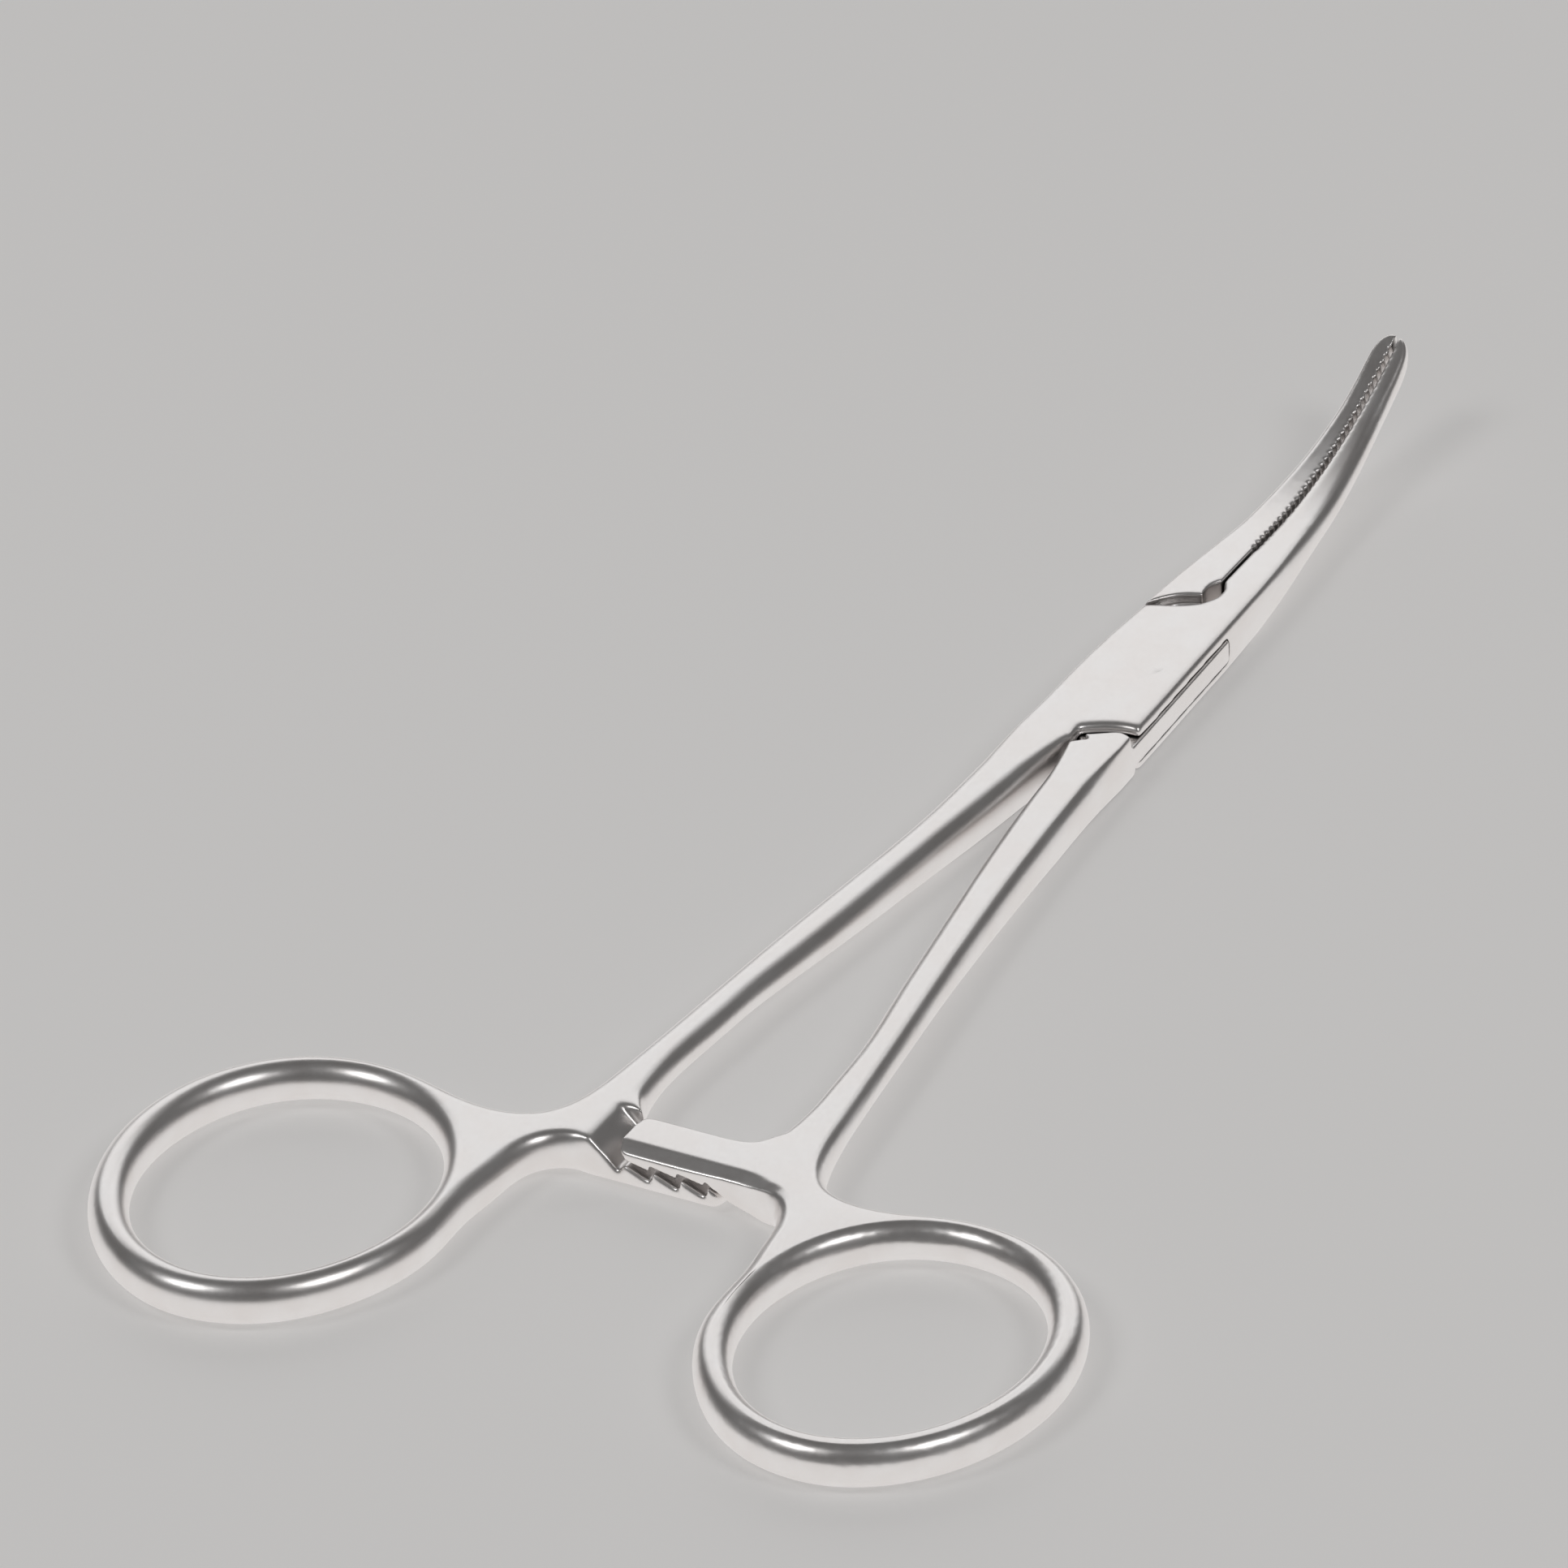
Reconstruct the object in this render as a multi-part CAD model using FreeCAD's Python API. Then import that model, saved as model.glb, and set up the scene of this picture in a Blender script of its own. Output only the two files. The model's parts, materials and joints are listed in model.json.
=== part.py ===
import FreeCAD, Part
import math
import os

V = FreeCAD.Vector

# Overall sizes, in millimetres. The pivot axis is x = y = 0 and the underside of the box is z = 0.
thickness = 3.5
slot_height = 1.8
tongue_clearance = 0.05
wall_clearance = 0.08
jaw_gap = 0.12
pin_diameter = 2.6
pin_running_clearance = 0.03

# Ratchet bars: middle along the length and width, reach of the tips past the middle line, and corner size.
ratchet_place = -68.55
bar_width = 4.15
bar_reach = 3.85
bar_corner = 0.7
bar_thinning = 0.45
bar_front = ratchet_place - bar_width / 2
bar_back = ratchet_place + bar_width / 2

# Finger rings, drawn with the ring on the right: place from the middle line and behind the ratchet,
# inner half sizes, tilt, rim width and rim offset.
ring_side = {"box": 22.36, "tongue": 22.6}
ring_behind = {"box": 14.36, "tongue": 14.0}
ring_half_width = 10.33
ring_half_length = {"box": 13.05, "tongue": 12.78}
ring_tilt = {"box": -3.4, "tongue": 2.9}
ring_egg = 0.045
ring_rim = 1.84
rim_offset = (0.12, -0.12)
ring_bulge = 0.42
ring_thinning = 0.2

# Side walls bow outwards by each point's bulge, then round over in shoulders at the top and bottom edges.
# Levels run from -1 at the underside to 1 at the top face.
shoulder_start = 0.72
shoulder_knee = 0.97
shoulder_end = 1.06
shoulder_fall = 1.3

# Jaws: curve upwards in a parabola from curve_start, tip at tip_y.
tip_y = 40.3
tip_lean = 0.1
curve_start = 20.6
curve_rate = 0.0135

# Serrations across the mating faces.
serration_start = 17.6
serration_pitch = 0.69
serration_end = 0.4
serration_depth = 0.26
serration_height = 2.0

# Lens-shaped relief between the jaw roots.
relief_start = 9.6
relief_end = 12.6
relief_half_width = 0.6

# Ratchet teeth: pitch, count, face lean, and levels below the top face.
tooth_pitch = 2.05
tooth_count = 3
tooth_face_lean = 0.03
upper_crest = 1.44
upper_root = 1.05
crest_clearance = 0.08
lower_root = 2.35
lower_first_face = -1.30
face_gap = 0.15
tip_chamfer = (0.55, 0.85)
facet_top = -6.1
facet_foot = -3.8
facet_fall = 2.15
chamfer_side = 5.1
chamfer_turn = 3.5
chamfer_radius = 4.6
chamfer_fall = 0.5

# How far cutting tools run past the part.
over = 3.0

# How much thinner than the box a half is along its length, cut from below.
thinning_knots = [
    (bar_front - 30.5, ring_thinning), (bar_front - 7.5, ring_thinning), (bar_front, bar_thinning),
    (bar_back, bar_thinning), (bar_back + 5.5, 1.15), (bar_back + 13.5, 1.3), (-43.4, 1.1), (-33.4, 0.6),
    (-22.0, 0.1), (-15.0, 0.0), (7.5, 0.0), (10.6, 0.12), (16.6, 0.62), (22.6, 1.33), (26.6, 1.46),
    (30.0, 1.51), (34.0, 1.63), (38.4, 1.67),
]

# Flank of the box: half width, y, how far the middle leans left, and side bulge.
box_flank = [(3.87, -7.2, 0.28, 0.2), (3.8, -2.5, 0.33, 0.2), (3.7, 1.0, 0.34, 0.2), (3.5, 5.6, 0.25, 0.2)]

# Flank of the jaws: half width, distance back from the tip, lean and side bulge.
jaw_flank = [
    (3.21, 29.7, 0.12, 0.2), (2.91, 23.7, -0.03, 0.22), (2.61, 19.7, -0.07, 0.24), (2.27, 14.8, -0.08, 0.25),
    (1.94, 11.1, -0.09, 0.25), (1.62, 6.8, -0.07, 0.22), (1.41, 3.3, -0.02, 0.2), (1.26, 1.5, 0.04, 0.2),
    (0.92, 0.45, 0.08, 0.2),
]

# Outer edge of the shanks: y, x on the box half, x on the tongue half, and side bulge.
shank_outer = [
    (-13.4, 4.4, 3.84, 0.22), (-23.4, 4.66, 4.41, 0.28), (-33.4, 5.61, 5.26, 0.3), (-43.4, 6.67, 6.37, 0.3),
    (-53.4, 7.53, 7.6, 0.3),
]

# Inner edge of the shanks, listed from the bars to the box in the same way.
shank_inner = [
    (-53.4, 5.05, 5.2, 0.3), (-49.4, 4.78, 4.77, 0.3), (-45.4, 4.3, 4.14, 0.3), (-37.4, 3.33, 3.02, 0.3),
    (-29.4, 2.54, 1.9, 0.28), (-21.4, 1.66, 0.95, 0.25), (-17.4, 1.2, 0.57, 0.2), (-13.6, 0.8, 0.25, 0.15),
    (-11.6, 0.5, 0.0, 0.1), (-10.5, 0.1, -0.3, 0.05), (-9.85, -1.0, -1.1, 0.05), (-9.4, -2.4, -2.4, 0.08),
    (-8.6, -3.4, -3.3, 0.15),
]

# Inner edge where a bar runs into its shank: distance behind the bars, x and side bulge.
bar_root = [
    (0.08, 3.0, 0.05), (0.55, 4.25, 0.15), (1.7, 5.0, 0.25), (3.9, 5.43, 0.3), (6.5, 5.53, 0.3), (9.5, 5.38, 0.3),
]

# Outer edge of the neck: distance in front of the ring's top, distance past its near side, and side bulge.
neck_outer = [
    (6.53, -1.92, 0.3), (2.73, -1.33, 0.3), (0.63, -0.58, 0.3), (-0.67, 0.42, 0.32), (-1.47, 1.92, 0.35),
    (-1.72, 3.72, 0.38), (-1.47, 5.92, 0.4),
]

# Inner edge of the neck: distance before the bars, distance past the ring's near side, and side bulge.
neck_inner = [
    (8.6, 0.22, 0.4), (5.7, -0.13, 0.4), (3.4, -0.43, 0.36), (1.95, -0.93, 0.28), (0.8, -1.83, 0.18),
    (0.2, -2.98, 0.08), (0.0, -4.28, 0.0),
]

# Ends of the box plates and the shoulders that face them, seen from above.
plate_end_right = [(-0.3, -9.3), (0.95, -8.45), (2.45, -7.85), (3.45, -7.75), (5.0, -7.9)]
plate_end_left = [(-5.0, 6.6), (-2.8, 7.8), (-1.2, 8.5), (-0.5, 8.95), (0.0, 9.4)]
shoulder_right = [(-1.0, -10.7), (-0.2, -10.3), (0.97, -9.65), (2.07, -8.9), (2.7, -8.65), (3.5, -8.9), (5.0, -9.7)]
lower_shoulder = [(-1.0, -10.3), (-0.2, -9.8), (0.95, -9.0), (2.45, -8.45), (3.5, -8.4), (5.0, -8.7)]
shoulder_left = [(-5.0, 6.5), (-2.85, 8.5), (-2.0, 9.45), (-1.2, 9.95), (-0.6, 10.2), (0.6, 10.4)]
slot_wall = [(-6.0, -4.7), (1.0, -10.4)]
seam_start = 9.5
plate_bevel = 0.3


def knot_value(knots, y):
    """Smooth value between knots, with slopes that never overshoot."""
    last = len(knots) - 1
    if y <= knots[0][0]:
        return knots[0][1]
    if y >= knots[last][0]:
        return knots[last][1]
    k = 0
    while knots[k + 1][0] < y:
        k += 1

    def secant(i):
        return (knots[i + 1][1] - knots[i][1]) / (knots[i + 1][0] - knots[i][0])

    def slope(i):
        if i == 0 or i == last:
            return secant(max(0, min(i, last - 1)))
        a = secant(i - 1)
        b = secant(i)
        if a * b <= 0:
            return 0.0
        return 2 * a * b / (a + b)

    step = knots[k + 1][0] - knots[k][0]
    t = (y - knots[k][0]) / step
    start = knots[k][1]
    end = knots[k + 1][1]
    bend = t * t * (3 - 2 * t)
    lean = (t * (1 - t) * (1 - t)) * slope(k) - (t * t * (1 - t)) * slope(k + 1)
    return start + (end - start) * bend + step * lean


def topside(y):
    return thickness + curve_rate * max(0.0, y - curve_start) ** 2


def underside(y):
    return topside(y) - thickness + knot_value(thinning_knots, y)


def ring_point(half, angle, grow):
    """Point on the tilted, slightly egg-shaped ring outline, grown outwards from its inner edge."""
    a = math.radians(angle)
    x = (ring_half_width + grow) * math.cos(a) * (1 + ring_egg * math.sin(a))
    y = (ring_half_length[half] + grow) * math.sin(a)
    tilt = math.radians(ring_tilt[half])
    return (
        ring_side[half] + x * math.cos(tilt) - y * math.sin(tilt),
        ratchet_place - ring_behind[half] + x * math.sin(tilt) + y * math.cos(tilt))


def outline_knots(half):
    """Top outline of one half, drawn with its ring on the right: x, y and side bulge of each point."""
    lean_sign = 1 if half == "box" else -1
    column = 1 if half == "box" else 2
    flank = box_flank + [(width, tip_y - back, lean, bulge) for width, back, lean, bulge in jaw_flank]
    ring_near = ring_side[half] - ring_half_width - ring_rim
    ring_top = ratchet_place - ring_behind[half] + ring_half_length[half] + ring_rim
    knots = [(lean_sign * tip_lean, tip_y, flank[-1][3])]
    for width, y, lean, bulge in reversed(flank):
        knots.append((width + lean_sign * lean, y, bulge))
    for row in shank_outer:
        knots.append((row[column], row[0], row[3]))
    for ahead, past, bulge in neck_outer:
        knots.append((ring_near + past, ring_top + ahead, bulge))
    for step in range(10):
        x, y = ring_point(half, 103 - 30.6 * step, ring_rim)
        knots.append((x + rim_offset[0], y + rim_offset[1], ring_bulge))
    for before, past, bulge in neck_inner:
        knots.append((ring_near + past, bar_front - before, bulge))
    c = bar_corner
    nip = 0.29 * c
    bar = [
        (2.0, bar_front), (2 * c - bar_reach, bar_front), (c - bar_reach, bar_front + 0.04 * c),
        (nip - bar_reach, bar_front + nip), (-bar_reach, bar_front + c), (-bar_reach, bar_back - c),
        (nip - bar_reach, bar_back - nip), (c - bar_reach, bar_back - 0.04 * c), (2 * c - bar_reach, bar_back),
        (1.2, bar_back),
    ]
    for x, y in bar:
        knots.append((x, y, 0.0))
    for behind, x, bulge in bar_root:
        knots.append((x, bar_back + behind, bulge))
    for row in shank_inner:
        knots.append((row[column], row[0], row[3]))
    for width, y, lean, bulge in flank:
        knots.append((lean_sign * lean - width, y, bulge))
    return knots


def closed_spline(points, parameters):
    curve = Part.BSplineCurve()
    curve.interpolate(Points=points, PeriodicFlag=True, Parameters=parameters)
    return curve


def chord_parameters(points):
    total = [0.0]
    for i in range(len(points)):
        total.append(total[-1] + (points[(i + 1) % len(points)] - points[i]).Length)
    return total


def wall_rows():
    """Control rows of the side wall, from below to above: height level and share of the bulge."""
    start = 1 - shoulder_start ** 2
    knee = start - 2 * shoulder_start * (shoulder_knee - shoulder_start)
    rising = [(0.0, 1 + shoulder_start ** 2), (shoulder_start, start), (shoulder_knee, knee)]
    rising.append((shoulder_end, -shoulder_fall))
    falling = [(-level, share) for level, share in reversed(rising[1:])]
    return falling + rising


def bulged_solid(knots):
    """Solid inside a closed plan outline whose side walls bow outwards and round over at their edges."""
    parameters = chord_parameters([V(x, y, 0) for x, y, bulge in knots])
    guide = closed_spline([V(x, y, bulge) for x, y, bulge in knots], parameters)

    def control_curve(level, share):
        points = []
        for (x, y, bulge), parameter in zip(knots, parameters):
            along = guide.tangent(parameter)[0]
            out = bulge * share / math.hypot(along.x, along.y)
            z = (topside(y) + underside(y)) / 2 + level * (topside(y) - underside(y)) / 2
            points.append(V(x - along.y * out, y + along.x * out, z))
        return closed_spline(points, parameters)

    curves = [control_curve(level, share) for level, share in wall_rows()]
    rows = [curve.getPoles() for curve in curves]
    floor = [V(p.x, p.y, -over) for p in rows[0]]
    roof = [V(p.x, p.y, 4 * thickness) for p in rows[-1]]
    shell = Part.makeShell([
        skin(curves[0], rows[0:3]),
        skin(curves[0], rows[2:5]),
        skin(curves[0], rows[4:7]),
        skin(curves[0], [floor, rows[0]]),
        skin(curves[0], [rows[-1], roof]),
        cap(curves[0], floor),
        cap(curves[0], roof),
    ])
    shell.sewShape()
    body = Part.Solid(shell)
    body.fix(0.0001, 0.0001, 0.0001)
    if body.Volume < 0:
        body.reverse()
    return body


def skin(curve, pole_rows):
    """Surface over rows of control points that share the knots of one closed curve."""
    columns = [list(column) for column in zip(*pole_rows)]
    count = len(pole_rows)
    surface = Part.BSplineSurface()
    surface.buildFromPolesMultsKnots(
        columns, curve.getMultiplicities(), [count, count], curve.getKnots(), [0.0, 1.0],
        True, False, curve.Degree, count - 1)
    return surface.toShape()


def cap(curve, poles):
    """Flat face inside control points that share the knots of one closed curve."""
    edge = Part.BSplineCurve()
    edge.buildFromPolesMultsKnots(poles, curve.getMultiplicities(), curve.getKnots(), True, curve.Degree)
    return Part.Face(Part.Wire([edge.toShape()]))


def ring_hole(half):
    """Opening of the finger ring: its wall bows inwards as the outside bows outwards."""
    knots = []
    for step in range(12):
        x, y = ring_point(half, -30 * step, 0.0)
        knots.append((x, y, -ring_bulge))
    return bulged_solid(knots)


def side_profile():
    """Solid between underside and topside, run right across the width."""
    wide = 2 * max(ring_side.values())
    start = ratchet_place - 2 * max(ring_behind.values()) - 3 * over
    end = tip_y + over
    step = 2.0
    count = math.ceil((end - start) / step)
    low = []
    for i in range(count + 1):
        y = start + (end - start) * i / count
        low.append(V(-wide, y, underside(y)))
    high = []
    for i in range(9):
        y = curve_start + (end - curve_start) * i / 8
        high.append(V(-wide, y, topside(y)))
    low_curve = Part.BSplineCurve()
    low_curve.interpolate(low)
    high_curve = Part.BSplineCurve()
    end_slope = 2 * curve_rate * (end - curve_start)
    high_curve.interpolate(Points=high, InitialTangent=V(0, 1, 0), FinalTangent=V(0, 1, end_slope))
    edges = [
        low_curve.toShape(),
        Part.makeLine(low[-1], high[-1]),
        high_curve.toShape(),
        Part.makeLine(high[0], V(-wide, start, thickness)),
        Part.makeLine(V(-wide, start, thickness), low[0]),
    ]
    return Part.Face(Part.Wire(Part.__sortEdges__(edges))).extrude(V(2 * wide, 0, 0))


def forging(half):
    """One half before milling, with its ring on the right."""
    return bulged_solid(outline_knots(half)).common(side_profile()).cut(ring_hole(half))


def plan_tool(points, low, high):
    """Prism over a closed plan polygon."""
    corners = [V(x, y, low) for x, y in points]
    return Part.Face(Part.makePolygon(corners + [corners[0]])).extrude(V(0, 0, high - low))


def curved_tool(curve_points, corner_points, low, high, lean=(0.0, 0.0)):
    """Prism whose first side is a smooth curve, closed by straight sides; lean shifts its top."""
    wires = []
    for z, shift in ((low, (0.0, 0.0)), (high, lean)):
        points = [V(x + shift[0], y + shift[1], z) for x, y in curve_points]
        corners = [points[-1]] + [V(x, y, z) for x, y in corner_points] + [points[0]]
        curve = Part.BSplineCurve()
        curve.interpolate(points)
        edges = [curve.toShape()]
        for a, b in zip(corners[:-1], corners[1:]):
            edges.append(Part.makeLine(a, b))
        wires.append(Part.Wire(edges))
    return Part.makeLoft(wires, True, True)


def shoulder_tool(lower_edge, upper_edge, low, high):
    """Prism between the shoulders at both ends of the box, each a smooth plan curve."""
    curves = []
    for path in (lower_edge, upper_edge):
        curve = Part.BSplineCurve()
        curve.interpolate([V(x, y, low) for x, y in path])
        curves.append(curve.toShape())
    right = [V(lower_edge[-1][0], lower_edge[-1][1], low), V(5.0, upper_edge[0][1], low)]
    right.append(V(upper_edge[0][0], upper_edge[0][1], low))
    left = [V(upper_edge[-1][0], upper_edge[-1][1], low), V(-5.0, lower_edge[0][1], low)]
    left.append(V(lower_edge[0][0], lower_edge[0][1], low))
    edges = list(curves)
    for side in (right, left):
        edges.append(Part.makeLine(side[0], side[1]))
        edges.append(Part.makeLine(side[1], side[2]))
    return Part.Face(Part.Wire(Part.__sortEdges__(edges))).extrude(V(0, 0, high - low))


def section_tool(points, back, front):
    """Prism over a polygon drawn in x and z, run from front to back along y."""
    corners = [V(x, front, z) for x, z in points]
    return Part.Face(Part.makePolygon(corners + [corners[0]])).extrude(V(0, back - front, 0))


def turned(points):
    return [(-x, -y) for x, y in points]


def jaw_slope(y):
    return 2 * curve_rate * max(0.0, y - curve_start)


def serration_tools():
    """Diamond bars standing across the jaws, one for each pair of grooves."""
    d = serration_depth
    w = serration_pitch * 0.42
    corners = [V(d, 0, -over), V(0, w, -over), V(-d, 0, -over), V(0, -w, -over), V(d, 0, -over)]
    diamond = Part.Face(Part.makePolygon(corners))
    tools = []
    y = serration_start
    while y < tip_y - serration_end:
        bar = diamond.extrude(V(0, 0, 2 * over))
        bar.rotate(V(0, 0, 0), V(1, 0, 0), math.degrees(math.atan(jaw_slope(y))))
        bar.translate(V(0, y, topside(y) - serration_height / 2))
        tools.append(bar)
        y += serration_pitch / math.sqrt(1 + jaw_slope(y) ** 2)
    return tools


def relief_eye():
    """Lens-shaped opening between the jaw roots."""
    low = V(0, relief_start, -over)
    high = V(0, relief_end, -over)
    middle = (relief_start + relief_end) / 2
    edges = [
        Part.Arc(low, V(relief_half_width, middle, -over), high).toShape(),
        Part.Arc(high, V(-relief_half_width, middle, -over), low).toShape(),
    ]
    return Part.Face(Part.Wire(edges)).extrude(V(0, 0, thickness + 2 * over))


def pin_hole(clearance):
    return Part.makeCylinder(pin_diameter / 2 + clearance, thickness + 2 * over, V(0, 0, -over))


def box_half():
    """The half with the box: two plates with the tongue's slot between, and the lower ratchet bar."""
    body = forging("box").mirror(V(0, 0, 0), V(1, 0, 0))
    top = thickness + over
    slot_low = (thickness - slot_height) / 2
    slot = slot_wall + [(6.0, -12.0)] + turned(slot_wall) + [(-6.0, 12.0)]
    below_plate = [(5.0, -14.0), (0.2, -14.0)]
    left_jaw = [(jaw_gap / 2, plate_end_left[-1][1]), (jaw_gap / 2, tip_y + over), (-5.0, tip_y + over)]
    cuts = [
        plan_tool(slot, slot_low, slot_low + slot_height),
        curved_tool(plate_end_right, below_plate, -over, top),
        curved_tool(plate_end_right, below_plate, thickness - plate_bevel, thickness + 0.001, (0, plate_bevel)),
        curved_tool(plate_end_left, left_jaw, -over, 4 * thickness),
        relief_eye(),
    ]
    return body.cut(upper_space()).cut(cuts + serration_tools()).cut(pin_hole(0.0))


def tongue_half():
    """The half with the tongue that runs through the box, and the upper ratchet bar."""
    slot_low = (thickness - slot_height) / 2 + tongue_clearance
    slot_high = (thickness + slot_height) / 2 - tongue_clearance
    upper_edge = list(reversed(shoulder_left))
    wall = [(x + wall_clearance * 0.7, y + wall_clearance) for x, y in slot_wall]
    far_wall = turned(wall)
    seam = -jaw_gap / 2
    end = tip_y + over
    past_seam = [far_wall[0], (6.0, end), (seam, end), (seam, seam_start), (0.0, seam_start)]
    cuts = [
        shoulder_tool(lower_shoulder, upper_edge, -over, slot_low),
        shoulder_tool(shoulder_right, upper_edge, slot_high, thickness + over),
        plan_tool(wall + [(-0.5, -11.6), (-6.0, -11.5)], -over, thickness + over),
        plan_tool(past_seam, -over, 4 * thickness),
        relief_eye(),
        front_chamfer(),
    ]
    return forging("tongue").cut(lower_space()).cut(cuts + serration_tools()).cut(pin_hole(pin_running_clearance))


def upper_space():
    """Everything above the lower ratchet bar: sloped milled facet, then the sawteeth."""
    t = thickness
    lower_crest = upper_crest + crest_clearance
    tip = bar_reach + 1.5
    facet_start = facet_top - (facet_foot - facet_top) / facet_fall
    points = [(facet_start, t + 1.0), (facet_foot, t - facet_fall)]
    points.append((lower_first_face - tooth_pitch, t - lower_crest))
    for k in range(tooth_count):
        face = lower_first_face + k * tooth_pitch
        points.append((face, t - lower_root))
        points.append((face + tooth_face_lean, t - lower_crest))
    points += [(tip - 1.1, t - lower_root), (tip, t - lower_root), (tip, t + 1.0)]
    return section_tool(points, bar_back + 0.6, bar_front - 2.0)


def lower_space():
    """Everything below the upper ratchet bar: bar tip, sawteeth, then the ramp into the neck."""
    t = thickness
    run, fall = tip_chamfer
    points = [(-bar_reach - run, -1.0), (-bar_reach - run, t - upper_root + 2 * fall)]
    points.append((run - bar_reach, t - upper_root))
    for k in range(tooth_count):
        face = lower_first_face - face_gap + k * tooth_pitch
        points.append((face, t - upper_crest))
        points.append((face + tooth_face_lean, t - upper_root))
    points += [(3.2, t - 1.45), (4.5, t - 2.25), (7.95, bar_thinning - 0.15), (8.6, -1.0)]
    return section_tool(points, bar_back + 1.6, bar_front - 0.7)


def front_chamfer():
    """Scooped chamfer along the front upper edge of the upper bar, turning into the neck."""
    t = thickness
    turn_x = ring_side["tongue"] - ring_half_width - ring_rim - chamfer_side
    turn_y = bar_front - chamfer_turn
    y = turn_y + chamfer_radius
    run = 3.0
    section = [(y, t), (y + 0.01, t + 1), (y - run, t + 1), (y - run, t - run * chamfer_fall)]
    start = -bar_reach - 1.0
    straight = [V(start, a, b) for a, b in section]
    bar = Part.Face(Part.makePolygon(straight + [straight[0]])).extrude(V(turn_x - start, 0, 0))
    ends = [V(turn_x, a, b) for a, b in section]
    cone = Part.Face(Part.makePolygon(ends + [ends[0]])).revolve(V(turn_x, turn_y, 0), V(0, 0, 1), -100)
    return bar.fuse(cone)


def pivot_pin():
    return Part.makeCylinder(pin_diameter / 2, thickness)


def largest_solid(shape):
    return max(shape.Solids, key=lambda solid: solid.Volume)


os.makedirs("parts", exist_ok=True)
nodes = {"box_half": box_half, "tongue_half": tongue_half, "pivot_pin": pivot_pin}
for name, build in nodes.items():
    largest_solid(build()).exportStep("parts/" + name + ".step")
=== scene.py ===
import bpy
import bmesh
import json
import math
from mathutils import Matrix, Vector
from mathutils.kdtree import KDTree


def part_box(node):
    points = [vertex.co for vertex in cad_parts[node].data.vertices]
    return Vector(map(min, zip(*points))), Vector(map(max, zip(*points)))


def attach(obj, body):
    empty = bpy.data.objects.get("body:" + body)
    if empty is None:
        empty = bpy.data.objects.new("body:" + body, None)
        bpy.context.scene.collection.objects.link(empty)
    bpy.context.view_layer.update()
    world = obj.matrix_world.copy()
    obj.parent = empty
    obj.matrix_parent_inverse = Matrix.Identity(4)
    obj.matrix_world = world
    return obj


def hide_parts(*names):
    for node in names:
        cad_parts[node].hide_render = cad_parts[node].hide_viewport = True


MM = 0.001

# The photograph's view, a long lens from the ring end: angles in radians, lengths in millimetres.
PHOTO_WIDTH = 1932
VIEW_AZIMUTH = -0.48741
VIEW_ELEVATION = 0.55151
VIEW_ROLL = -0.01642
VIEW_DISTANCE = 1393.42
VIEW_AIM = (-16.084, -22.797, 2.0)
VIEW_FOCAL_PIXELS = 25013.9

# Mesh of the steel pieces: grid size, turns of smoothing and the most triangles for one piece.
GRID = 0.075 * MM
SMOOTHING_TURNS = 1
FORGED_SMOOTHING_TURNS = 12
SCOOP_SMOOTHING_TURNS = 60
MOST_TRIANGLES = 190000

# The cylinder that is joined to the dressed box half and hides the pin: it runs through both plates and the
# slot, is wider than the pin by one grid size all round, and stands out this far at each end.
PIN_COVER_PROUD = 0.003 * MM
PIN_COVER_SIDES = 64

# The forging's faces, in millimetres: thickness, the upward curve of the jaws and how much is off below.
THICKNESS = 3.5
CURVE_START = 20.6
CURVE_RATE = 0.0135
THINNING = [
    (-101.1, 0.2), (-78.1, 0.2), (-70.6, 0.45), (-66.5, 0.45), (-61.0, 1.15), (-53.0, 1.3), (-43.4, 1.1),
    (-33.4, 0.6), (-22.0, 0.1), (-15.0, 0), (7.5, 0), (10.6, 0.12), (16.6, 0.62), (22.6, 1.33), (26.6, 1.46),
    (30.0, 1.51), (34.0, 1.63), (38.4, 1.67),
]

# Extra rounding of the forged edges, in millimetres: y and how far an edge is moved inwards at the faces.
OUTER_ROUNDING = [
    (-100, 0.38), (-80, 0.38), (-75, 0.35), (-62, 0.35), (-55, 0.42), (-16, 0.42), (-10.5, 0), (12, 0),
    (20, 0.3), (34, 0.3), (38.8, 0),
]
HOLE_ROUNDING = [(-100, 0.42), (41, 0.42)]
ROUNDING_DEPTH = 1.3
LEAST_ROUNDING = 0.01
CAD_SHOULDER = 0.5

# The line along the walls from which the rounding is measured, in millimetres: how far from the face it runs,
# its step, the length over which its directions are evened, its reach, and the reach of a ring's hole.
WALL_LEVEL = 0.65
LINE_STEP = 0.1
LINE_EVENING = 0.5
LINE_REACH = 2.5
HOLE_REACH = 14.5


def camera():
    """Long lens, aimed at the middle of the picture's forceps."""
    aim = Vector(VIEW_AIM) * MM
    forward = Vector((
        math.sin(VIEW_AZIMUTH) * math.cos(VIEW_ELEVATION),
        math.cos(VIEW_AZIMUTH) * math.cos(VIEW_ELEVATION),
        -math.sin(VIEW_ELEVATION)))
    level = Vector((math.cos(VIEW_AZIMUTH), -math.sin(VIEW_AZIMUTH), 0))
    above = level.cross(forward)
    right = level * math.cos(VIEW_ROLL) + above * math.sin(VIEW_ROLL)
    up = above * math.cos(VIEW_ROLL) - level * math.sin(VIEW_ROLL)
    turn = Matrix((right, up, -forward)).transposed().to_4x4()
    lens = bpy.data.cameras.new("camera")
    lens.sensor_width = 36
    lens.lens = VIEW_FOCAL_PIXELS / PHOTO_WIDTH * lens.sensor_width
    lens.clip_start = 0.1
    lens.clip_end = 20
    made = bpy.data.objects.new("camera", lens)
    made.matrix_world = Matrix.Translation(aim - forward * VIEW_DISTANCE * MM) @ turn
    bpy.context.scene.collection.objects.link(made)
    bpy.context.scene.camera = made


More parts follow.
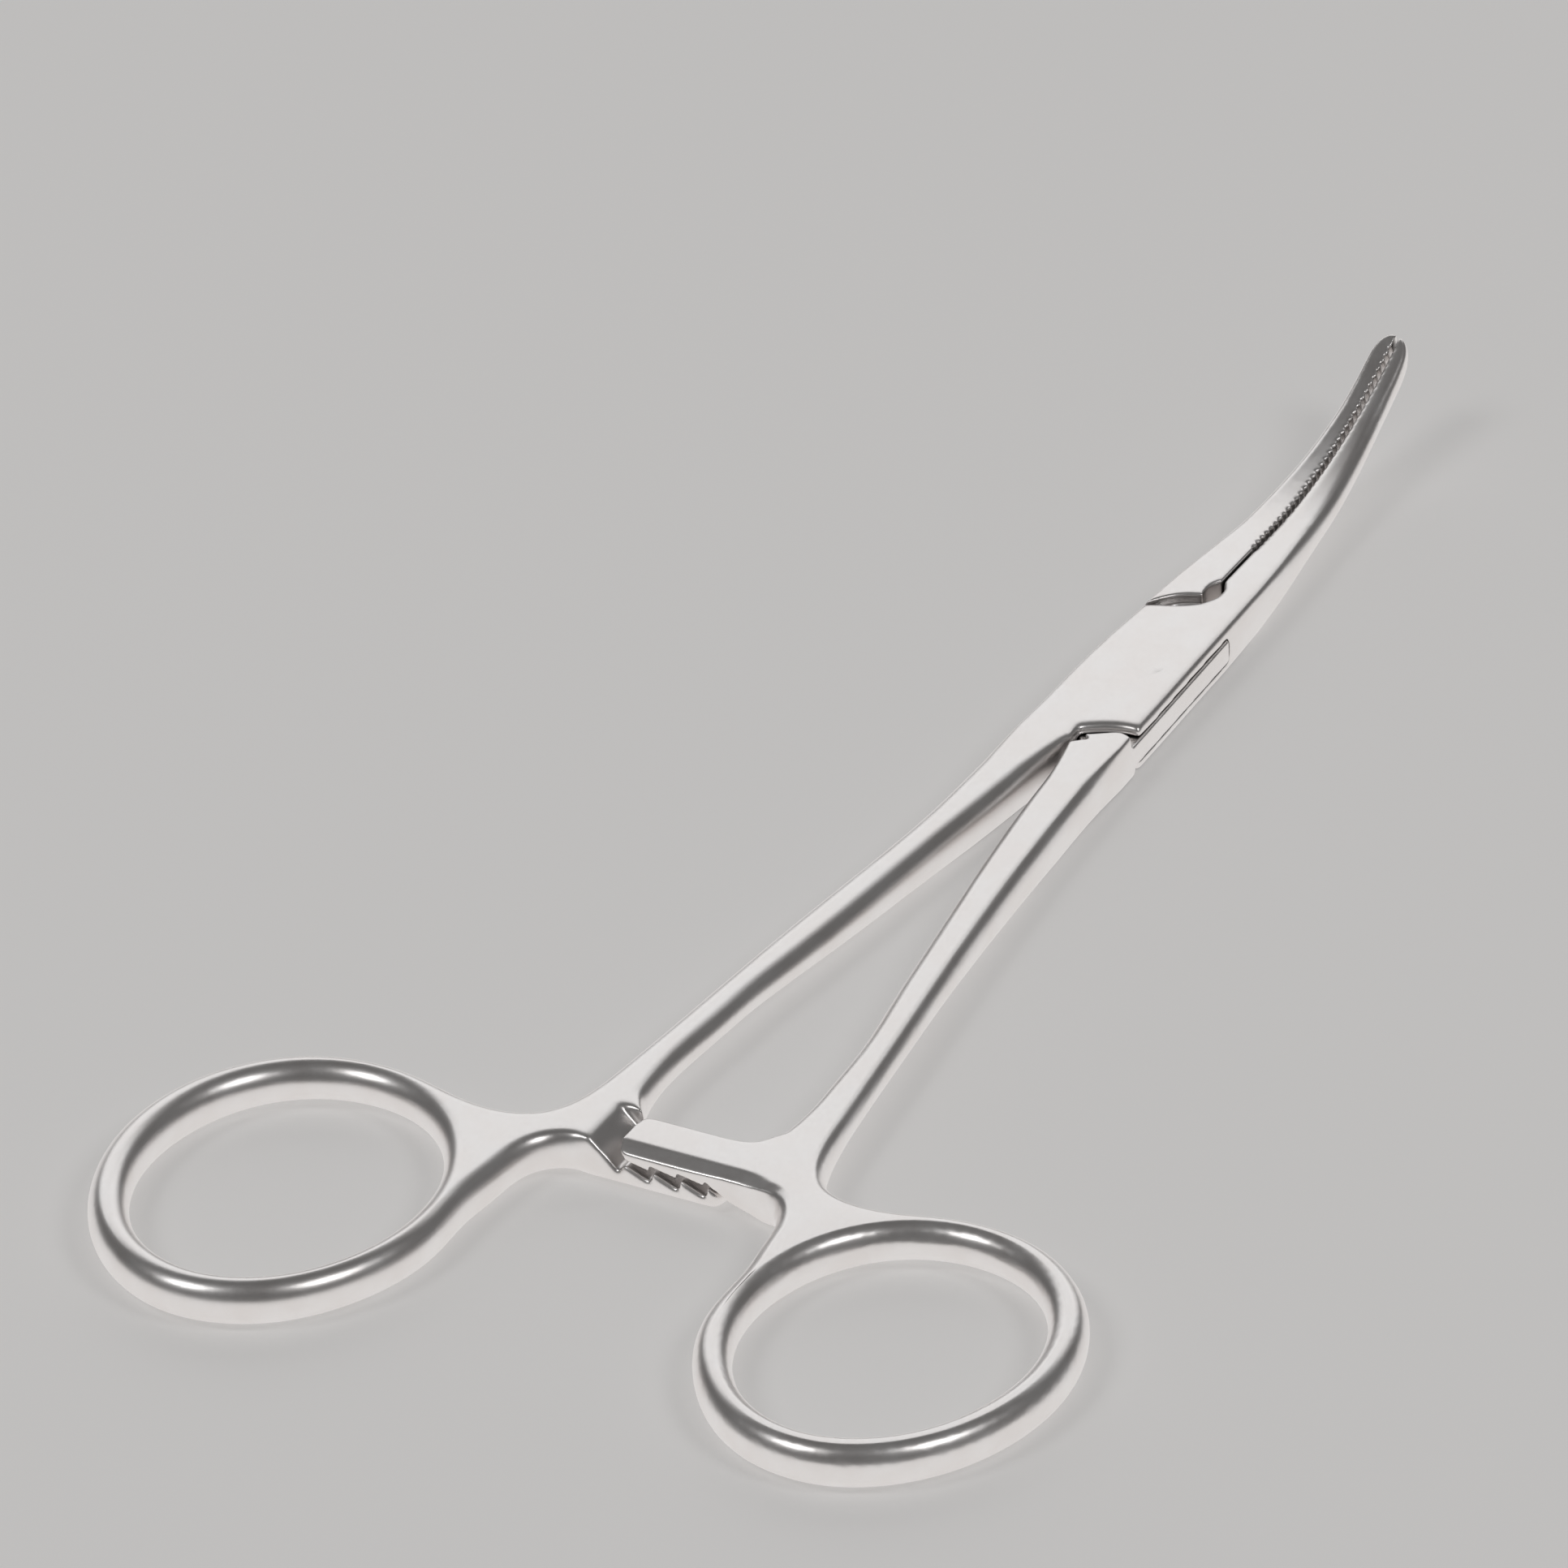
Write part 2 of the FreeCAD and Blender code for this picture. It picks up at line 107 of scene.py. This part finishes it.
def floor():
    """Pale tabletop, which stays pale in the picture and in the steel's reflections."""
    bpy.ops.mesh.primitive_plane_add(size=12, location=(0, 0, -0.00005))
    table = bpy.context.object
    table.name = "tabletop"
    look = bpy.data.materials.new("pale tabletop")
    look.use_nodes = True
    nodes = look.node_tree.nodes
    links = look.node_tree.links
    matt = nodes["Principled BSDF"]
    matt.inputs["Base Color"].default_value = (0.82, 0.81, 0.80, 1)
    matt.inputs["Roughness"].default_value = 0.9
    matt.inputs["Specular IOR Level"].default_value = 0.2
    pale = nodes.new("ShaderNodeEmission")
    pale.inputs["Color"].default_value = (0.86, 0.845, 0.835, 1)
    pale.inputs["Strength"].default_value = 1.12
    path = nodes.new("ShaderNodeLightPath")
    seen = nodes.new("ShaderNodeMath")
    seen.operation = "MULTIPLY"
    seen.inputs[1].default_value = 0.3
    links.new(path.outputs["Is Camera Ray"], seen.inputs[0])
    share = nodes.new("ShaderNodeMath")
    share.operation = "MULTIPLY_ADD"
    share.inputs[1].default_value = 0.8
    links.new(path.outputs["Is Glossy Ray"], share.inputs[0])
    links.new(seen.outputs[0], share.inputs[2])
    mixed = nodes.new("ShaderNodeMixShader")
    links.new(share.outputs[0], mixed.inputs["Fac"])
    links.new(matt.outputs["BSDF"], mixed.inputs[1])
    links.new(pale.outputs["Emission"], mixed.inputs[2])
    links.new(mixed.outputs["Shader"], nodes["Material Output"].inputs["Surface"])
    table.data.materials.append(look)


def soft_box(name, azimuth, elevation, distance, width, height, radiance):
    """Rectangular lamp that faces the forceps, placed by compass angle from +Y and height angle in degrees."""
    side = math.radians(azimuth)
    rise = math.radians(elevation)
    towards = Vector((math.sin(side) * math.cos(rise), math.cos(side) * math.cos(rise), math.sin(rise)))
    data = bpy.data.lights.new(name, "AREA")
    data.shape = "RECTANGLE"
    data.size = width
    data.size_y = height
    data.energy = radiance * math.pi * width * height
    lamp = bpy.data.objects.new(name, data)
    lamp.location = towards * distance
    lamp.rotation_euler = (-towards).to_track_quat("-Z", "Y").to_euler()
    bpy.context.scene.collection.objects.link(lamp)


def lights():
    """A broad softbox behind, two small ones to the sides, and pale walls under a dark ceiling."""
    soft_box("back softbox", -28, 30, 2.0, 2.4, 1.25, 0.92)
    soft_box("left softbox", -150, 48, 1.3, 0.4, 0.4, 4.5)
    soft_box("right softbox", 100, 48, 1.3, 0.4, 0.4, 4.5)
    world = bpy.data.worlds.new("studio")
    world.use_nodes = True
    nodes = world.node_tree.nodes
    links = world.node_tree.links
    where = nodes.new("ShaderNodeTexCoord")
    split = nodes.new("ShaderNodeSeparateXYZ")
    links.new(where.outputs["Generated"], split.inputs["Vector"])
    fall = nodes.new("ShaderNodeMapRange")
    fall.interpolation_type = "SMOOTHSTEP"
    fall.inputs["From Min"].default_value = math.sin(math.radians(-4))
    fall.inputs["From Max"].default_value = math.sin(math.radians(10))
    fall.inputs["To Min"].default_value = 0.5
    fall.inputs["To Max"].default_value = 0.12
    links.new(split.outputs["Z"], fall.inputs["Value"])
    links.new(fall.outputs["Result"], nodes["Background"].inputs["Strength"])
    nodes["Background"].inputs["Color"].default_value = (1.0, 0.985, 0.975, 1)
    bpy.context.scene.world = world


def satin_steel(name, grain):
    """Stainless steel with a fine satin grain, faint clouding and a few hairline scratches."""
    look = bpy.data.materials.new(name)
    look.use_nodes = True
    nodes = look.node_tree.nodes
    links = look.node_tree.links
    steel = nodes["Principled BSDF"]
    steel.inputs["Metallic"].default_value = 1
    where = nodes.new("ShaderNodeTexCoord")

    def spots(scale, stretch, detail):
        """Noise whose spots measure one over scale, drawn out by the stretch along each axis."""
        place = nodes.new("ShaderNodeMapping")
        place.inputs["Scale"].default_value = [scale / s for s in stretch]
        links.new(where.outputs["Object"], place.inputs["Vector"])
        noise = nodes.new("ShaderNodeTexNoise")
        noise.inputs["Scale"].default_value = 1
        noise.inputs["Detail"].default_value = detail
        links.new(place.outputs["Vector"], noise.inputs["Vector"])
        return noise.outputs["Fac"]

    def ranged(value, low, high, to_low, to_high):
        """Value run through a straight ramp."""
        fit = nodes.new("ShaderNodeMapRange")
        fit.inputs["From Min"].default_value = low
        fit.inputs["From Max"].default_value = high
        fit.inputs["To Min"].default_value = to_low
        fit.inputs["To Max"].default_value = to_high
        links.new(value, fit.inputs["Value"])
        return fit.outputs["Result"]

    clouds = spots(1 / (2.6 * MM), (1, 1.5, 1), 3)
    tint = nodes.new("ShaderNodeMix")
    tint.data_type = "RGBA"
    tint.inputs["A"].default_value = (0.81, 0.782, 0.768, 1)
    tint.inputs["B"].default_value = (0.85, 0.832, 0.824, 1)
    links.new(ranged(clouds, 0.35, 0.65, 0, 1), tint.inputs["Factor"])
    # Painted shade: the base colour goes to near black where ambient occlusion within 0.35 mm finds a place
    # shut in (creases, grooves, teeth, the seam between the halves).
    painted_shade_occlusion = nodes.new("ShaderNodeAmbientOcclusion")
    painted_shade_occlusion.samples = 8
    painted_shade_occlusion.inputs["Distance"].default_value = 0.35 * MM
    painted_crease_shade = nodes.new("ShaderNodeMix")
    painted_crease_shade.data_type = "RGBA"
    painted_crease_shade.inputs["A"].default_value = (0.06, 0.052, 0.05, 1)
    links.new(tint.outputs["Result"], painted_crease_shade.inputs["B"])
    links.new(ranged(painted_shade_occlusion.outputs["AO"], 0.15, 0.55, 0, 1), painted_crease_shade.inputs["Factor"])
    links.new(painted_crease_shade.outputs["Result"], steel.inputs["Base Color"])

    fine = spots(1 / (0.16 * MM), (1, grain, 1), 2)
    rough = nodes.new("ShaderNodeMath")
    rough.operation = "ADD"
    links.new(ranged(fine, 0.3, 0.7, 0.30, 0.34), rough.inputs[0])
    links.new(ranged(clouds, 0.3, 0.7, -0.015, 0.015), rough.inputs[1])
    links.new(rough.outputs[0], steel.inputs["Roughness"])

    hairline = spots(1 / (0.09 * MM), (14, 1, 1), 1)
    scratch = ranged(hairline, 0.70, 0.80, 0, 1)
    relief = nodes.new("ShaderNodeMath")
    relief.operation = "SUBTRACT"
    links.new(fine, relief.inputs[0])
    links.new(scratch, relief.inputs[1])
    bump = nodes.new("ShaderNodeBump")
    bump.inputs["Strength"].default_value = 0.12
    bump.inputs["Distance"].default_value = 0.004 * MM
    links.new(relief.outputs[0], bump.inputs["Height"])
    links.new(bump.outputs["Normal"], steel.inputs["Normal"])
    return look


def between(rows, y):
    """Value at y, in a straight line between the two rows around it."""
    low = rows[0]
    for high in rows[1:]:
        if y < high[0]:
            share = max(0.0, (y - low[0]) / (high[0] - low[0]))
            return low[1] + share * (high[1] - low[1])
        low = high
    return rows[-1][1]


def top_height(y):
    return THICKNESS + CURVE_RATE * max(0.0, y - CURVE_START) ** 2


def under_height(y):
    return top_height(y) - THICKNESS + between(THINNING, y)


def milled(x, y, inward):
    """Whether a wall is a milled one, which stays crisp: seam, relief, ends of the plates or ratchet."""
    seam = abs(x) < 0.6 and 9 < y < 39.5
    relief = abs(x) < 1.1 and 8.5 < y < 13
    plate_end = -12 < y < 10.5 and abs(inward.y) > 0.6
    ratchet = -7 < x < 5.2 and -73.5 < y < -64
    crescent = 1 < x < 8 and -77 < y < -68
    return seam or relief or plate_end or ratchet or crescent


def wall_line(mesh, height, level, hole_centre):
    """Points along the forged walls, cut level under or over a face: place, inward direction, in the hole."""
    shape = bmesh.new()
    shape.from_mesh(mesh)
    for vertex in shape.verts:
        vertex.co.z -= height(vertex.co.y / MM) * MM
    shape.normal_update()
    cut = bmesh.ops.bisect_plane(
        shape, geom=shape.verts[:] + shape.edges[:] + shape.faces[:], plane_co=(0, 0, level * MM),
        plane_no=(0, 0, 1))
    found = []
    for edge in cut["geom_cut"]:
        if not isinstance(edge, bmesh.types.BMEdge) or not edge.link_faces:
            continue
        a, b = (Vector((vertex.co.x, vertex.co.y, 0)) / MM for vertex in edge.verts)
        if (b - a).length < 1e-4:
            continue
        inward = Vector((a.y - b.y, b.x - a.x, 0)).normalized()
        if inward.dot(edge.link_faces[0].normal) > 0:
            inward.negate()
        steps = max(1, math.ceil((b - a).length / LINE_STEP))
        for k in range(steps):
            place = a.lerp(b, (k + 0.5) / steps)
            if milled(place.x, place.y, inward):
                continue
            outward = place - hole_centre
            found.append((place, inward, outward.length < HOLE_REACH and outward.dot(inward) > 0))
    shape.free()
    return found


def evened(line):
    """The line with each inward direction averaged over its neighbours, and its search tree."""
    near = KDTree(len(line))
    for k, (place, inward, in_hole) in enumerate(line):
        near.insert(place, k)
    near.balance()
    result = []
    for place, inward, in_hole in line:
        total = Vector((0, 0, 0))
        for found, k, distance in near.find_range(place, LINE_EVENING):
            if line[k][1].dot(inward) > 0:
                total += line[k][1]
        result.append((place, total.normalized(), in_hole))
    return result, near


def round_over(mesh, node_mesh, hole_centre):
    """Moves the edges of the forged walls inwards, most at the upper and lower face and less down the wall."""
    for height, turn in ((top_height, 1), (under_height, -1)):
        line, near = evened(wall_line(node_mesh, height, -turn * WALL_LEVEL, hole_centre))
        for vertex in mesh.vertices:
            co = vertex.co / MM
            depth = (height(co.y) - co.z) * turn
            if depth >= ROUNDING_DEPTH:
                continue
            found, k, distance = near.find((co.x, co.y, 0))
            if distance > LINE_REACH:
                continue
            place, inward, in_hole = line[k]
            move = between(HOLE_ROUNDING if in_hole else OUTER_ROUNDING, co.y)
            if move < LEAST_ROUNDING:
                continue
            away = Vector((co.x - place.x, co.y - place.y, 0))
            inset = away.dot(inward)
            along = math.sqrt(max(0.0, away.length_squared - inset * inset))
            fade = min(1.0, (CAD_SHOULDER + 2 * move - inset) / (2 * move), 1.0 - (along - LINE_STEP))
            if fade <= 0:
                continue
            down = 1 - max(0.0, depth) / ROUNDING_DEPTH
            vertex.co += inward * (move * fade * down * down * MM)


def is_forged(x, y, z):
    """Whether a place is away from the milled details: serrations, relief, box and ratchet teeth."""
    serrations = abs(x) < 0.9 and y > 9
    box = -12 < y < 13
    ratchet = -3.8 < x < 5.2 and -73.5 < y < -64
    return not (serrations or box or ratchet)


def in_scoop(x, y, z):
    """Whether a place is at the milled facet beside the lower ratchet bar, which has soft borders."""
    return -7.2 < x < -3.6 and -75 < y < -64.5 and z > 0.9


def smooth(piece, picked, turns):
    """Evens the surface where the picked places are."""
    for vertex in piece.data.vertices:
        vertex.select = picked(*(vertex.co / MM))
    bpy.ops.object.mode_set(mode="EDIT")
    bpy.ops.mesh.vertices_smooth(factor=0.5, repeat=turns)
    bpy.ops.object.mode_set(mode="OBJECT")


def polished(node, body, look, hole_centre, pin=None):
    """The forged and polished form of a CAD piece: gridded evenly, shoulders pressed in, smoothed.

    The box half also takes in a cylinder that hides the pin.
    """
    piece = node.copy()
    piece.data = node.data.copy()
    piece.name = node.name + "_steel"
    bpy.context.scene.collection.objects.link(piece)
    piece.data.materials.clear()
    piece.data.materials.append(look)
    piece.select_set(True)
    bpy.context.view_layer.objects.active = piece
    if pin is not None:
        low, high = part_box(pin.name)
        bpy.ops.mesh.primitive_cylinder_add(
            vertices=PIN_COVER_SIDES, radius=(high[0] - low[0]) / 2 + GRID,
            depth=high[2] - low[2] + 2 * PIN_COVER_PROUD, location=(0, 0, (high[2] + low[2]) / 2))
        piece.select_set(True)
        bpy.context.view_layer.objects.active = piece
        bpy.ops.object.join()
    bpy.ops.object.mode_set(mode="EDIT")
    bpy.ops.mesh.select_all(action="SELECT")
    bpy.ops.mesh.remove_doubles(threshold=0.001 * MM)
    bpy.ops.object.mode_set(mode="OBJECT")
    joined = piece.data.copy()
    grid = piece.modifiers.new("even grid", "REMESH")
    grid.mode = "VOXEL"
    grid.voxel_size = GRID
    bpy.ops.object.modifier_apply(modifier=grid.name)
    round_over(piece.data, joined, hole_centre)
    bpy.ops.object.mode_set(mode="EDIT")
    bpy.ops.mesh.select_all(action="SELECT")
    bpy.ops.mesh.select_mode(type="VERT")
    bpy.ops.mesh.vertices_smooth(factor=0.5, repeat=SMOOTHING_TURNS)
    bpy.ops.object.mode_set(mode="OBJECT")
    smooth(piece, is_forged, FORGED_SMOOTHING_TURNS)
    if pin is not None:
        smooth(piece, in_scoop, SCOOP_SMOOTHING_TURNS)
    triangles = sum(len(face.vertices) - 2 for face in piece.data.polygons)
    if triangles > MOST_TRIANGLES:
        fewer = piece.modifiers.new("fewer triangles", "DECIMATE")
        fewer.ratio = MOST_TRIANGLES / triangles
        bpy.ops.object.modifier_apply(modifier=fewer.name)
    bpy.ops.object.shade_smooth()
    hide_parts(node.name)
    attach(piece, body)
    piece.select_set(False)
    return piece


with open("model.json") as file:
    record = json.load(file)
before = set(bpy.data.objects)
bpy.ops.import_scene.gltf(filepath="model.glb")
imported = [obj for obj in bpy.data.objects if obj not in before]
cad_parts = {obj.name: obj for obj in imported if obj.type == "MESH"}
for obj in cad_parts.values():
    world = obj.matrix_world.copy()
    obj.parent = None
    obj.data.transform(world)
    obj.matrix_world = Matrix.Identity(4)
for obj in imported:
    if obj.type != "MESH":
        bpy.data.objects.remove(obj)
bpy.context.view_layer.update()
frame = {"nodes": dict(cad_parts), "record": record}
bpy.ops.object.select_all(action="DESELECT")
camera()
floor()
lights()
steel = satin_steel("satin steel", 3)
halves = {"box_half": "box_side", "tongue_half": "tongue_side"}
openings = {row["name"]: row["box_m"] for row in frame["record"]["physics"]["openings"]}
for name, body in halves.items():
    low, high = openings["ring_of_" + name]
    hole_centre = Vector((low[0] + high[0], low[1] + high[1], 0)) / (2 * MM)
    pin = frame["nodes"]["pivot_pin"] if name == "box_half" else None
    polished(frame["nodes"][name], body, steel, hole_centre, pin)
frame["nodes"]["pivot_pin"].data.materials.clear()
frame["nodes"]["pivot_pin"].data.materials.append(steel)

bpy.context.scene.view_settings.view_transform = "Standard"
